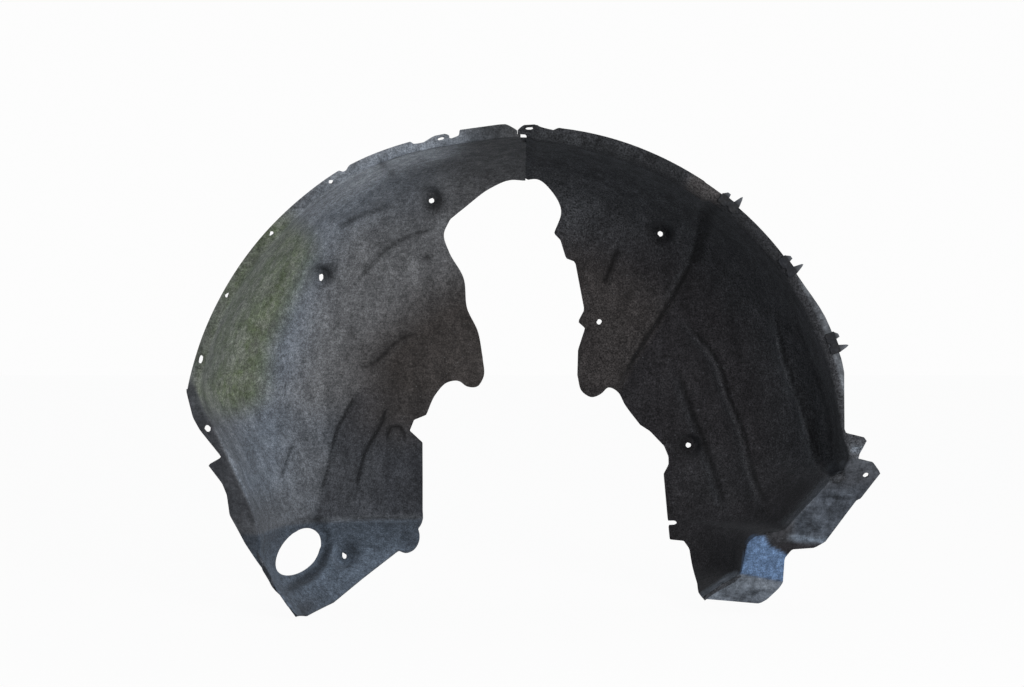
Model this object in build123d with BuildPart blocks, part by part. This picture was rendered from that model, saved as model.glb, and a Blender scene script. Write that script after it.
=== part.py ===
"""Wheel arch liner for a car's front left wheel: two lapped felt shells and three edge clips.

The shells are drawn about the wheel's centre: X runs to the rear of the car, Y inboard from the lip, Z up.
At the end every piece is moved so that the origin lies midway between the two holes of the inner wall.
"""

import math
import os

from build123d import *

# overall sizes in millimetres
FELT = 4.0
ARCH_RADIUS = 433.0
FRONT_FLARE = 9.5
LIP_WIDTH = 15.0
REAR_SWELL = 5.0
REAR_EDGE_X = 422.0
CROWN_WALL = 300.0
CROWN_DEPTH = 240.0
FRONT_AXLE_WALL = 130.0
REAR_AXLE_WALL = 180.0
AXLE_DEPTH = 232.0
SHELF_DROP = 95.0
LEG_DROP = 215.0

# the two halves lap at the crown
SEAM_X = 8.5
LAP_LENGTH = 24.0
LAP_SHEET = 3.1
LAP_GAP = 0.3

# flanges of the two legs
BUMPER_LEAN = 32.0
SILL_LEAN = 15.0
FOLD_X = 418.5
FOLD_SLOPE = 0.449
RIDGE_TOP = 428.0
RIDGE_BOTTOM = 240.0

# raised panels and ribs on the wheel side
PANEL_RAISE = 3.5
RIB_RAISE = 5.0

# fixing holes and their pads, which are square to Y
HOLE_RADIUS = 4.0
LIP_HOLE_RADIUS = 3.0
LIP_HOLE_INSET = 6.5
SLOT_LENGTH = 11.0
SLOT_WIDTH = 6.0
PAD_RADIUS = 11.0
PAD_FLARE = 10.0
ROOF_PAD_DEPTH = 222.0
WALL_PAD_DEPTH = 238.0
DUCT_LENGTH = 65.0
DUCT_WIDTH = 46.0

# edge clips
CLIP_LENGTH = 34.0
CLIP_SHEET = 1.6
CLIP_FRONT_LEG = 10.0
CLIP_BACK_LEG = 5.0
CLIP_GAP = 0.3
FIN_HEIGHT = 16.0

FOLD_ANGLE = 167.0
INNER_END = 75.0
REACH = 600.0


def ease(t):
    """0 to 1 with soft ends."""
    t = min(max(t, 0.0), 1.0)
    return t * t * (3 - 2 * t)


def blend(a, b, t):
    return a + (b - a) * t


def arch_edge(degrees):
    """Radius of the outer edge; the front half flares a little past the crown."""
    return ARCH_RADIUS + FRONT_FLARE * ease((degrees - 98) / 26)


def polar(radius, degrees):
    a = math.radians(degrees)
    return (radius * math.cos(a), radius * math.sin(a))


def radial_plane(degrees):
    """A plane through the wheel's axis; its x points outward and its y inboard."""
    a = math.radians(degrees)
    return Plane(origin=(0, 0, 0), x_dir=(math.cos(a), 0, math.sin(a)), z_dir=(-math.sin(a), 0, math.cos(a)))


def level_plane(height, side):
    """A level plane through a leg; its x points away from the wheel's axis and its y inboard."""
    return Plane(origin=(0, 0, height), x_dir=(side, 0, 0), z_dir=(0, 0, side))


class Cut:
    """One cut through a shell: the wheel side runs from the lip inboard and round to a flat wall."""

    def __init__(self, plane, lip, start, wall, depth, square):
        self.plane = plane
        self.lip = lip
        self.start = start
        self.wall = wall
        self.depth = depth
        self.square = square

    def point(self, degrees, offset):
        """A point at an angle seen from the foot of the wall, moved outward by the offset."""
        a = math.radians(degrees)
        width = self.lip - self.wall
        height = self.depth - self.start
        c = max(math.cos(a), 1e-9)
        s = max(math.sin(a), 1e-9)
        reach = ((c / width) ** self.square + (s / height) ** self.square) ** (-1 / self.square)
        u = reach * c / width
        v = reach * s / height
        normal = Vector(u ** (self.square - 1) / width, v ** (self.square - 1) / height).normalized()
        return Vector(self.wall + reach * c, self.start + reach * s) + normal * offset

    def face(self, low, high, inner):
        """The layer between two offsets from the wheel side."""
        steps = (0, 18, 36, 54, 72, 90)
        near = [self.point(degrees, low) for degrees in steps]
        far = [self.point(degrees, high) for degrees in steps]
        with BuildSketch(self.plane) as layer:
            with BuildLine():
                Spline(*near, tangents=[(0, 1), (-1, 0)])
                Line(near[-1], (inner, self.depth + low))
                Line((inner, self.depth + low), (inner, self.depth + high))
                Line((inner, self.depth + high), far[-1])
                Spline(*reversed(far), tangents=[(1, 0), (0, -1)])
                Line(far[0], near[0])
            make_face()
        return layer.sketch.face()


def front_cut(degrees, height=0.0):
    t = ease((degrees - 90) / 90)
    if degrees < 180:
        lip = arch_edge(degrees) - LIP_WIDTH
        plane = radial_plane(degrees)
    else:
        lip = FOLD_X + (height - 97) * FOLD_SLOPE
        plane = level_plane(height, -1)
    shelf = 1.1 * max(0.0, -SHELF_DROP - height)
    return Cut(
        plane,
        lip,
        start=0.0,
        wall=blend(CROWN_WALL, FRONT_AXLE_WALL, t),
        depth=blend(CROWN_DEPTH, AXLE_DEPTH, t) - shelf,
        square=blend(3.0, 2.3, t),
    )


def rear_cut(degrees, height=0.0):
    t = ease((90 - degrees) / 90)
    if degrees > 0:
        lip = blend(RIDGE_TOP, ARCH_RADIUS - LIP_WIDTH, ease(degrees / 25))
        plane = radial_plane(degrees)
    else:
        lip = blend(RIDGE_TOP, RIDGE_BOTTOM, -height / LEG_DROP)
        plane = level_plane(height, 1)
    return Cut(
        plane,
        lip,
        start=-0.25 * height,
        wall=blend(CROWN_WALL, REAR_AXLE_WALL, t) + 0.1 * height,
        depth=blend(CROWN_DEPTH, AXLE_DEPTH, t) + 0.12 * height,
        square=blend(3.0, 2.2, t),
    )


FRONT_ARCH = [front_cut(degrees) for degrees in (86, 102, 118, 134, 150, FOLD_ANGLE)]
FRONT_STRETCHES = [
    [FRONT_ARCH[-1], front_cut(180)],
    [front_cut(180), front_cut(180, -SHELF_DROP)],
    [front_cut(180, -SHELF_DROP), front_cut(180, -LEG_DROP)],
]
REAR_ARCH = [rear_cut(degrees) for degrees in (92, 74, 56, 38, 19, 0)]
REAR_STRETCHES = [[rear_cut(0), rear_cut(0, -LEG_DROP)]]


def skin(arch, stretches, low, high):
    """The moulded layer between two offsets from the wheel side: a smooth arch and straight leg stretches."""
    with BuildPart() as layer:
        loft([cut.face(low, high, INNER_END) for cut in arch])
        for stretch in stretches:
            loft([cut.face(low, high, INNER_END) for cut in stretch], ruled=True)
    return layer.part


def loft_arch(arch, low, high):
    with BuildPart() as layer:
        loft([cut.face(low, high, INNER_END) for cut in arch])
    return layer.part


def front_skin(low, high):
    return skin(FRONT_ARCH, FRONT_STRETCHES, low, high)


def rear_skin(low, high):
    return skin(REAR_ARCH, REAR_STRETCHES, low, high)


def through(sketch):
    """A side-view sketch carried right through the part along Y."""
    with BuildPart() as prism:
        extrude(sketch, amount=REACH, both=True)
    return prism.part


def leaning_plate(top, bottom, lean, side, outline):
    """A flat flange of the same felt: it leaves the line from top to bottom outward and leans back."""
    along = (Vector(*bottom) - Vector(*top)).normalized()
    inboard = Vector(0, 1, 0)
    outward = along.cross(inboard).normalized() * -side
    back = outward.cross(along) * side
    a = math.radians(lean)
    normal = back * math.cos(a) - outward * math.sin(a)
    plane = Plane(origin=top, x_dir=tuple(along), z_dir=tuple(normal))
    with BuildPart() as plate:
        with BuildSketch(plane):
            Rectangle(2 * REACH, 2 * REACH)
        extrude(amount=FELT)
        with BuildSketch(Plane.XZ):
            Polygon(*outline, align=None)
        extrude(amount=REACH, both=True, mode=Mode.INTERSECT)
    return plate.part


with BuildSketch(Plane.XZ) as front_outline:
    with BuildLine():
        Polyline((-279, -208), (-249, -196), (-215, -170), (-168, -136))
        ThreePointArc((-168, -136), (-146, -134), (-143, -109))
        Polyline((-143, -109), (-137, -98), (-137, 10), (-155, 27), (-149, 42), (-132, 49))
        Spline((-132, 49), (-118, 79), (-102, 95), (-86, 97), (-74, 89), (-60, 89), (-51, 102), (-52, 131))
        Spline((-52, 131), (-59, 168), (-74, 200), (-79, 243), (-100, 281), (-107, 305), (-98, 326))
        Spline((-98, 326), (-78, 342), (-41, 369), (-12, 380), (SEAM_X, 379))
        Polyline((SEAM_X, 379), (SEAM_X, REACH), (-REACH, REACH), (-REACH, -208), (-279, -208))
    make_face()

with BuildSketch(Plane.XZ) as rear_outline:
    with BuildLine():
        Spline((SEAM_X, 380), (26, 380), (45, 365), (59, 339), (49, 306))
        Polyline((49, 306), (58, 297), (66, 271), (79, 266), (92, 198), (83, 181), (93, 172), (83, 141), (82, 105))
        Spline((82, 105), (89, 82), (103, 74), (116, 79), (126, 88), (138, 83), (150, 63), (171, 35))
        Polyline((171, 35), (185, 26), (205, 5), (211, -10), (211, -21), (204, -34), (206, -60), (211, -125))
        Polyline((211, -125), (230, -126), (237, -136), (243, -178), (250, -199))
        Polyline((250, -199), (REACH, -199), (REACH, REACH), (SEAM_X, REACH), (SEAM_X, 380))
    make_face()


def lip_edge(first, last, radius):
    """Points along the lip, one every few degrees, at a radius given as a function of the angle."""
    count = max(2, round(abs(last - first) / 3))
    angles = [blend(first, last, k / count) for k in range(count + 1)]
    return [polar(radius(degrees), degrees) for degrees in angles]


def bend_edge(degrees):
    return arch_edge(degrees) - LIP_WIDTH + 1


def rear_edge(degrees):
    """The rear lip swells a little past the middle clip, then runs straight down to the sill flange."""
    straight = REAR_EDGE_X / max(math.cos(math.radians(degrees)), 0.1)
    return min(ARCH_RADIUS + REAR_SWELL * ease((33 - degrees) / 9), straight)


def pad(x, z, depth, skin_behind):
    """A round pocket moulded back from the wall, with a flat floor square to Y."""
    floor = Plane(origin=(x, depth, z), x_dir=(1, 0, 0), z_dir=(0, -1, 0))
    behind = floor.offset(-FELT)
    with BuildPart() as cup:
        with BuildSketch(behind):
            Circle(PAD_RADIUS + FELT)
        extrude(amount=50, taper=-PAD_FLARE)
        add(skin_behind, mode=Mode.INTERSECT)
    with BuildPart() as hollow:
        with BuildSketch(floor):
            Circle(PAD_RADIUS)
        extrude(amount=60, taper=-PAD_FLARE)
    return cup.part, hollow.part


def lap_zone(margin):
    """The block of space at the crown in which the two halves lie over each other, clear of both edges."""
    low = SEAM_X - LAP_LENGTH - margin
    with BuildPart(Plane(origin=(low, 12 - margin, 300))) as zone:
        Box(LAP_LENGTH + 12 + margin, 186 + 2 * margin, 200, align=(Align.MIN, Align.MIN, Align.MIN))
    return zone.part


def lap_layer(low, high, margin):
    with BuildPart() as layer:
        add(loft_arch(FRONT_ARCH, low, high))
        add(lap_zone(margin), mode=Mode.INTERSECT)
    return layer.part


def raised(skin_raised, sketch):
    with BuildPart() as panel:
        add(skin_raised)
        add(through(sketch), mode=Mode.INTERSECT)
    return panel.part


def lens(left, right):
    """A sketch between two curves that share their ends."""
    with BuildSketch(Plane.XZ) as strip:
        with BuildLine():
            Spline(*left)
            Spline(*right)
        make_face()
    return strip.sketch


front_lip_tab = [(-78.5, 420), (-78.5, 427.8), (-28, 435), (-18, 436), (-3.5, 427.5), (-3.5, 423)]
front_lip_end = [(-18, 445), (-18, 436), (-3.5, 427.5), (-3.5, 421), (SEAM_X, 415), (40, 415), (40, 445)]
front_lip_notches = (
    [(-141, 430), (-139, 409.5), (-126, 411.5), (-112, 420), (-112, 430)],
    [(-92, 430), (-92.5, 415.5), (-79.5, 420.5), (-78.5, 440)],
)
with BuildSketch(Plane.XZ) as front_lip:
    with BuildLine():
        Spline(*lip_edge(86, 168.5, arch_edge))
        Line(polar(arch_edge(168.5), 168.5), polar(bend_edge(168.5), 168.5))
        Spline(*lip_edge(168.5, 86, bend_edge))
        Line(polar(bend_edge(86), 86), polar(arch_edge(86), 86))
    make_face()
    Polygon(*front_lip_tab, align=None)
    Polygon(*front_lip_end, align=None, mode=Mode.SUBTRACT)
    for notch in front_lip_notches:
        Polygon(*notch, align=None, mode=Mode.SUBTRACT)
    with Locations((-103, 416.5)):
        SlotOverall(10, 3.4, rotation=14, mode=Mode.SUBTRACT)
    for degrees in (124.3, 137.8, 150.8, 162.7):
        with Locations(polar(arch_edge(degrees) - LIP_HOLE_INSET, degrees)):
            Circle(LIP_HOLE_RADIUS, mode=Mode.SUBTRACT)

bumper_outline = [
    (-420, 97), (-437, 94), (-427, 53), (-418, 37), (-389, 2), (-409, -9), (-390, -33), (-384, -48),
    (-381, -75), (-360, -111), (-331, -150), (-303, -192), (-292, -203), (-281, -207),
]
step_1 = [(-227, 89), (-239, 63), (-255, 33), (-263, 3), (-271, -37), (-281, -71)]
step_1_back = [(-227, 89), (-205, 50), (-217, 3), (-240, -40), (-281, -71)]
step_2 = [(-186, 72), (-197, 32), (-215, 3), (-225, -30), (-231, -66)]
step_2_back = [(-186, 72), (-165, 30), (-172, -10), (-192, -45), (-231, -66)]

with BuildPart() as front_liner:
    add(front_skin(0, FELT))
    raised_front = front_skin(-RIB_RAISE, FELT / 2)
    add(raised(raised_front, lens(step_1, step_1_back)))
    add(raised(raised_front, lens(step_2, step_2_back)))
    behind_front = front_skin(0.5, 40)
    for x, z, depth in ((-124, 352, ROOF_PAD_DEPTH), (-278, 243, 202), (-242, -142, 158)):
        cup, hollow = pad(x, z, depth, behind_front)
        add(cup)
        add(hollow, mode=Mode.SUBTRACT)
    add(through(front_outline.sketch), mode=Mode.INTERSECT)
    add(lap_layer(LAP_SHEET, 12, 1), mode=Mode.SUBTRACT)
    extrude(front_lip.sketch, amount=-FELT)
    add(leaning_plate((-FOLD_X, 0, 97), (-FOLD_X + 304 * FOLD_SLOPE, 0, -207), BUMPER_LEAN, -1, bumper_outline))
    with BuildSketch(Plane.XZ):
        with Locations((-124, 352), (-408, 39)):
            Circle(HOLE_RADIUS)
        with Locations((-278, 243), (-242, -142)):
            SlotOverall(SLOT_LENGTH, SLOT_WIDTH, rotation=90)
        with Locations((-296, -129)):
            Ellipse(DUCT_LENGTH / 2, DUCT_WIDTH / 2, rotation=65)
    extrude(amount=REACH, both=True, mode=Mode.SUBTRACT)

rear_lip_tab = [(-2.9, 424), (-2.9, 428), (0, 431), (5, 434.8), (19, 434.8), (28, 431), (28, 424)]
rear_lip_end = [(-30, 445), (-2.9, 445), (-2.9, 422.8), (SEAM_X + 0.3, 422.6), (SEAM_X + 0.3, 412), (-30, 412)]
rear_lip_notch = [(28, 440), (34, 429.5), (44, 427), (50, 431), (50, 440)]
with BuildSketch(Plane.XZ) as rear_lip:
    with BuildLine():
        Spline(*lip_edge(92, 9, rear_edge))
        Line(polar(rear_edge(9), 9), polar(ARCH_RADIUS - LIP_WIDTH + 2, 9))
        Spline(*lip_edge(9, 92, lambda degrees: ARCH_RADIUS - LIP_WIDTH + 2))
        Line(polar(ARCH_RADIUS - LIP_WIDTH + 2, 92), polar(rear_edge(92), 92))
    make_face()
    Polygon(*rear_lip_tab, align=None)
    for cut_away in (rear_lip_end, rear_lip_notch):
        Polygon(*cut_away, align=None, mode=Mode.SUBTRACT)
    with Locations((12, 430)):
        SlotOverall(11, 3.4, mode=Mode.SUBTRACT)

sill_outline = [
    (430, 1), (441, 0), (460, -5), (470, -19), (446, -53), (441, -55), (402, -111), (388, -119), (358, -121),
    (349, -133), (348, -166), (343, -174), (328, -189), (318, -195), (241, -186),
    (289, -154),
]
crease = [(238, 360), (247, 325), (244, 275), (221, 224), (194, 179), (161, 128), (138, 80)]
with BuildSketch(Plane.XZ) as crown_panel:
    with BuildLine():
        Spline(*crease)
        Polyline((138, 80), (60, 90), (SEAM_X + 3, 330), (SEAM_X + 3, 460), (238, 460), (238, 360))
    make_face()
    Circle(ARCH_RADIUS - LIP_WIDTH - 6, mode=Mode.INTERSECT)
rib_1 = [(229, 98), (246, 46), (263, 3), (276, -40), (290, -95)]
rib_1_back = [(229, 98), (264, 46), (283, 3), (293, -40), (290, -95)]
rib_2 = [(238, 178), (280, 123), (295, 74), (314, 25), (325, -31), (345, -95)]
rib_2_back = [(238, 178), (294, 123), (313, 74), (335, 25), (346, -31), (345, -95)]
rib_3 = [(338, 204), (357, 121), (380, 50), (394, -14), (400, -35)]
rib_3_back = [(338, 204), (368, 121), (392, 50), (404, -14), (400, -35)]
rib_4 = [(366, 150), (379, 115), (395, 57), (401, -8)]
rib_4_back = [(366, 150), (387, 115), (405, 57), (401, -8)]

with BuildPart() as rear_liner:
    add(rear_skin(0, FELT))
    add(raised(rear_skin(-PANEL_RAISE, FELT / 2), crown_panel.sketch))
    raised_rear = rear_skin(-RIB_RAISE, FELT / 2)
    for left, right in ((rib_1, rib_1_back), (rib_2, rib_2_back), (rib_3, rib_3_back), (rib_4, rib_4_back)):
        add(raised(raised_rear, lens(left, right)))
    behind_rear = rear_skin(0.5, 40)
    for x, z, depth in ((199, 305, ROOF_PAD_DEPTH), (240, 6, WALL_PAD_DEPTH)):
        cup, hollow = pad(x, z, depth, behind_rear)
        add(cup)
        add(hollow, mode=Mode.SUBTRACT)
    add(through(rear_outline.sketch), mode=Mode.INTERSECT)
    add(lap_layer(LAP_SHEET + LAP_GAP, LAP_SHEET + LAP_GAP + FELT, 0))
    extrude(rear_lip.sketch, amount=-FELT)
    with BuildSketch(Plane.XZ):
        Polygon((424, 34), (453, 27), (439, 2), (426, 2), align=None)
    extrude(amount=-FELT)
    ridge_foot = (RIDGE_BOTTOM, 0.25 * LEG_DROP, -LEG_DROP)
    add(leaning_plate((RIDGE_TOP, 0, 0), ridge_foot, SILL_LEAN, 1, sill_outline))
    with BuildSketch(Plane.XZ):
        with Locations((199, 305), (113, 181), (240, 6), (451, -22)):
            Circle(HOLE_RADIUS)
        with Locations((214, -101)):
            SlotOverall(14, 7, rotation=5)
    extrude(amount=REACH, both=True, mode=Mode.SUBTRACT)


def clip(degrees):
    """A push-on clip over the rear lip: front leg, bridge, back leg and two spring fins."""
    x, z = polar(rear_edge(degrees), degrees)
    a = math.radians(degrees)
    lip_face = Plane(origin=(x, 0, z), x_dir=(math.sin(a), 0, -math.cos(a)), z_dir=(0, -1, 0))
    half = CLIP_LENGTH / 2
    top = CLIP_GAP + CLIP_SHEET
    with BuildPart() as piece:
        with BuildSketch(lip_face):
            with Locations((0, (top - CLIP_FRONT_LEG) / 2)):
                RectangleRounded(CLIP_LENGTH, top + CLIP_FRONT_LEG, 2)
        extrude(amount=CLIP_SHEET)
        with BuildSketch(lip_face):
            with Locations((0, CLIP_GAP + CLIP_SHEET / 2)):
                Rectangle(CLIP_LENGTH - 4, CLIP_SHEET)
        extrude(amount=-FELT)
        with BuildSketch(lip_face.offset(-FELT)):
            with Locations((0, (top - CLIP_BACK_LEG) / 2)):
                Rectangle(CLIP_LENGTH, top + CLIP_BACK_LEG)
            left_fin = [(-half, 0), (-half + 2, 0.55 * FIN_HEIGHT), (-half + 7, 0.6 * FIN_HEIGHT), (-half + 12, 0)]
            right_fin = [(half - 12, 0), (half - 2, FIN_HEIGHT), (half + 2, 0.9 * FIN_HEIGHT), (half, 0)]
            Polygon(*left_fin, align=None)
            Polygon(*right_fin, align=None)
        extrude(amount=-CLIP_SHEET)
    return piece.part


frame_origin = Location((-(113 + 240) / 2, -(WALL_PAD_DEPTH + FELT / 2), -(181 + 6) / 2))
os.makedirs("parts", exist_ok=True)
front_liner.part.move(frame_origin)
front_liner.part.label = "front_liner"
export_step(front_liner.part, "parts/front_liner.step")
rear_liner.part.move(frame_origin)
rear_liner.part.label = "rear_liner"
export_step(rear_liner.part, "parts/rear_liner.step")
for name, degrees in (("upper", 50.5), ("middle", 35.5), ("lower", 20.6)):
    edge_clip = clip(degrees)
    edge_clip.move(frame_origin)
    edge_clip.label = "edge_clip_" + name
    export_step(edge_clip, "parts/edge_clip_" + name + ".step")
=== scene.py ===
"""Looks for a car's wheel arch liner: two half shells of dusty needled felt and three edge clips.

Shapes are worked out in millimetres about the wheel's centre, with X to the rear of the car, Y inboard from
the lip and Z up, and are placed in the shared frame in metres at the end.
"""

import math

import bpy
import numpy as np
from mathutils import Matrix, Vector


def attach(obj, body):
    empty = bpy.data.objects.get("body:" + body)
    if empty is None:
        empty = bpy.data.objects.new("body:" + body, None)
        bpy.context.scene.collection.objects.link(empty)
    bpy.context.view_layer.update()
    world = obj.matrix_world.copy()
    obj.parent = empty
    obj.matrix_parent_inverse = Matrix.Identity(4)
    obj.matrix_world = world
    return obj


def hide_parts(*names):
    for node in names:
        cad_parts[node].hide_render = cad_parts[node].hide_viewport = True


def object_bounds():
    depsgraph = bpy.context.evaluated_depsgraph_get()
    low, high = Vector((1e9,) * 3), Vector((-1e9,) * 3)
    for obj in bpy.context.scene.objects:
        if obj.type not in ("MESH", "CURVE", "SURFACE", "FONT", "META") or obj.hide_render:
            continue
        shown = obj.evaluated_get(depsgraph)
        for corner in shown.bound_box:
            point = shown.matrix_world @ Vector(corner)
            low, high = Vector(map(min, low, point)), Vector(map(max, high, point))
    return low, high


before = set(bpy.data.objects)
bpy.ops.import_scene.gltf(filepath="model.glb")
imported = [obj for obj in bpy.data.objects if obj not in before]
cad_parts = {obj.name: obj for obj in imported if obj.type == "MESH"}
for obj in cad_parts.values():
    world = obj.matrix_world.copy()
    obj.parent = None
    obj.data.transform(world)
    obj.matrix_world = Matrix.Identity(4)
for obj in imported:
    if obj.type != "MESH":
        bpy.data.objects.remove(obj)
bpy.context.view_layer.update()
scene = bpy.context.scene

# sizes shared with the solids, in millimetres, and the slope of the front fold
WHEEL_CENTRE = np.array([-176.5, -240.0, -93.5])
FELT = 4.0
ARCH_RADIUS = 433.0
FRONT_FLARE = 9.5
LIP_WIDTH = 15.0
REAR_SWELL = 5.0
REAR_EDGE_X = 422.0
CROWN_WALL = 300.0
CROWN_DEPTH = 240.0
FRONT_AXLE_WALL = 130.0
REAR_AXLE_WALL = 180.0
AXLE_DEPTH = 232.0
SHELF_DROP = 95.0
LEG_DROP = 215.0
FOLD_X = 418.5
FOLD_SLOPE = 0.449
RIDGE_TOP = 428.0
RIDGE_BOTTOM = 240.0
INNER_END = 75.0
SEAM_X = 8.5
LAP_LENGTH = 24.0

# the lap's tongue: its depth behind the wheel side, its start and end inboard, its hold on the rear half
LAP_DEPTH = 3.4
LAP_START = 62.0
LAP_END = 198.0
LAP_ROOT = 4

# where the arch's edge changes, in degrees from the rear: a start and a span, or both ends
FLARE_START = 98
FLARE_SPAN = 26
SWELL_START = 33
SWELL_SPAN = 9
RIDGE_SPAN = 7
TAB_END = (123, 121)
FRONT_CROWN = (122, 114)
REAR_CROWN = (76, 84)

# how square each cut's round part is: 2 is an ellipse, more is fuller
CROWN_SQUARE = 3.0
FRONT_SQUARE = 2.3
REAR_SQUARE = 2.2

# flanges: radii of folds, widths, leans in degrees within each cut, and where the lip turns into each
LIP_FOLD = 14
CROWN_FOLD = 3
BUMPER_FOLD = 9
SILL_FOLD_RADIUS = 4
TAB_EXTRA = 5
BUMPER_START = (156, 168)
BUMPER_TOP_WIDTH = 34
BUMPER_TOP_LEAN = 26
BUMPER_WIDTH = 62
BUMPER_LEAN = 30
SILL_START = (24, 4)
SILL_TOP_WIDTH = 70
SILL_FOOT_WIDTH = 130
SILL_LEAN = 4.6
SILL_WIDENS = (0, -110)

# how the legs change with height
FOLD_TOP = 97
DUCT_BULGE = 18
DUCT_BULGE_HEIGHT = -142
DUCT_BULGE_SPAN = 42
SHELF_SLOPE = 1.1
SILL_DRIFT = 0.25
FACET_DRIFT = 0.08
WALL_SLOPE = 0.1
DEPTH_SLOPE = 0.12

# how finely the sheets are drawn
STEP = 3.2
LIP_COLUMNS = 34
FOLD_COLUMNS = 10
BOWL_COLUMNS = 145
ROUND_SAMPLES = 200
WALL_SAMPLES = 60
LINE_STEP = 14
ARC_POINTS = 40

# a guard against dividing by zero, and a distance that never cuts
TINY = 1e-9
FAR = 99.0


def ease(t):
    t = np.clip(t, 0.0, 1.0)
    return t * t * (3 - 2 * t)


def ramp(low, high, value):
    """0 below low, 1 above high, soft between; low may be the larger."""
    return ease((value - low) / (high - low))


def mix(a, b, t):
    return a + (b - a) * t


def polar(radius, degrees):
    a = math.radians(degrees)
    return (radius * math.cos(a), radius * math.sin(a))


def arch_edge(degrees):
    """Radius of the front half's lip edge, which flares a little to the front."""
    return ARCH_RADIUS + FRONT_FLARE * float(ease((degrees - FLARE_START) / FLARE_SPAN))


def rear_edge(degrees):
    """Radius of the rear half's lip edge, which swells and then runs straight down."""
    straight = REAR_EDGE_X / max(math.cos(math.radians(degrees)), 0.1)
    swell = REAR_SWELL * float(ease((SWELL_START - degrees) / SWELL_SPAN))
    return min(ARCH_RADIUS + swell, straight)


def smooth_through(keys, spacing):
    """A smooth run through the keys at about the given spacing. A key is a point or a row of points."""
    keys = np.asarray(keys, float)
    rows = keys.reshape(len(keys), -1, keys.shape[-1])
    gap = np.linalg.norm(np.diff(rows, axis=0), axis=2).mean(axis=1)
    along = np.concatenate([[0.0], np.cumsum(gap)])
    column = (-1,) + (1,) * (keys.ndim - 1)
    slope = np.diff(keys, axis=0) / gap.reshape(column)
    share = (gap[1:] / (gap[1:] + gap[:-1])).reshape(column)
    tangent = np.concatenate([slope[:1], slope[:-1] * share + slope[1:] * (1 - share), slope[-1:]])
    place = np.linspace(0, along[-1], max(2, round(along[-1] / spacing) + 1))
    k = np.clip(np.searchsorted(along, place, side="right") - 1, 0, len(gap) - 1)
    f = ((place - along[k]) / gap[k]).reshape(column)
    size = gap[k].reshape(column)
    start = keys[k] * (1 + 2 * f) * (1 - f) ** 2 + tangent[k] * size * f * (1 - f) ** 2
    end = keys[k + 1] * f * f * (3 - 2 * f) + tangent[k + 1] * size * f * f * (f - 1)
    return start + end


# the two moulded shells

def bowl(lip, start, wall, depth, square):
    """One cut as (outward, inboard) from the fold round to the flat wall and on to its inner end."""
    a = np.radians(np.linspace(0, 90, ROUND_SAMPLES))
    c = np.maximum(np.cos(a), TINY)
    s = np.maximum(np.sin(a), TINY)
    reach = ((c / (lip - wall)) ** square + (s / (depth - start)) ** square) ** (-1 / square)
    out = np.concatenate([wall + reach * c, np.linspace(wall, INNER_END, WALL_SAMPLES)[1:]])
    inboard = np.concatenate([start + reach * s, np.full(WALL_SAMPLES - 1, depth)])
    return np.stack([out, inboard], axis=1)


def cut_row(cut, width, lean, radius):
    """A whole cut: the flange from its edge inward, a rounded fold and the bowl."""
    path = bowl(*cut)
    length = np.concatenate([[0.0], np.cumsum(np.linalg.norm(np.diff(path, axis=0), axis=1))])
    a = math.radians(lean)
    away = np.linspace(width, radius, LIP_COLUMNS)[:, None]
    flange = path[0] + away * np.array([math.cos(a), math.sin(a)])
    even = np.linspace(radius, length[-1], BOWL_COLUMNS)
    inner = np.stack([np.interp(even, length, path[:, 0]), np.interp(even, length, path[:, 1])], axis=1)
    t = np.linspace(0, 1, FOLD_COLUMNS + 2)[1:-1, None]
    fold = flange[-1] * (1 - t) ** 2 + path[0] * 2 * t * (1 - t) + inner[0] * t * t
    return np.concatenate([flange, fold, inner])


def arch_row(degrees, *shape):
    row = cut_row(*shape)
    a = math.radians(degrees)
    return np.stack([row[:, 0] * math.cos(a), row[:, 1], row[:, 0] * math.sin(a)], axis=1)


def leg_row(height, side, *shape):
    row = cut_row(*shape)
    return np.stack([side * row[:, 0], row[:, 1], np.full(len(row), height)], axis=1)


def front_arch_row(degrees):
    t = float(ease((degrees - 90) / 90))
    wall = mix(CROWN_WALL, FRONT_AXLE_WALL, t)
    depth = mix(CROWN_DEPTH, AXLE_DEPTH, t)
    cut = (arch_edge(degrees) - LIP_WIDTH, 0.0, wall, depth, mix(CROWN_SQUARE, FRONT_SQUARE, t))
    tabs = float(ramp(*TAB_END, degrees))
    turn = float(ramp(*BUMPER_START, degrees))
    width = mix(LIP_WIDTH + 2, BUMPER_TOP_WIDTH, turn) + TAB_EXTRA * tabs
    crown = float(ramp(*FRONT_CROWN, degrees))
    radius = mix(mix(LIP_FOLD, CROWN_FOLD, crown), BUMPER_FOLD, turn)
    return arch_row(degrees, cut, width, BUMPER_TOP_LEAN * turn, radius)


def front_fold(height):
    """Where the bumper flange leaves the bowl: a straight fold that gives way a little beside the duct."""
    bulge = DUCT_BULGE * np.exp(-(((height - DUCT_BULGE_HEIGHT) / DUCT_BULGE_SPAN) ** 2))
    return FOLD_X + (height - FOLD_TOP) * FOLD_SLOPE + bulge


def front_leg_row(height):
    shelf = SHELF_SLOPE * max(0.0, -SHELF_DROP - height)
    cut = (float(front_fold(height)), 0.0, FRONT_AXLE_WALL, AXLE_DEPTH - shelf, FRONT_SQUARE)
    return leg_row(height, -1, cut, BUMPER_WIDTH, BUMPER_LEAN, BUMPER_FOLD)


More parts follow.
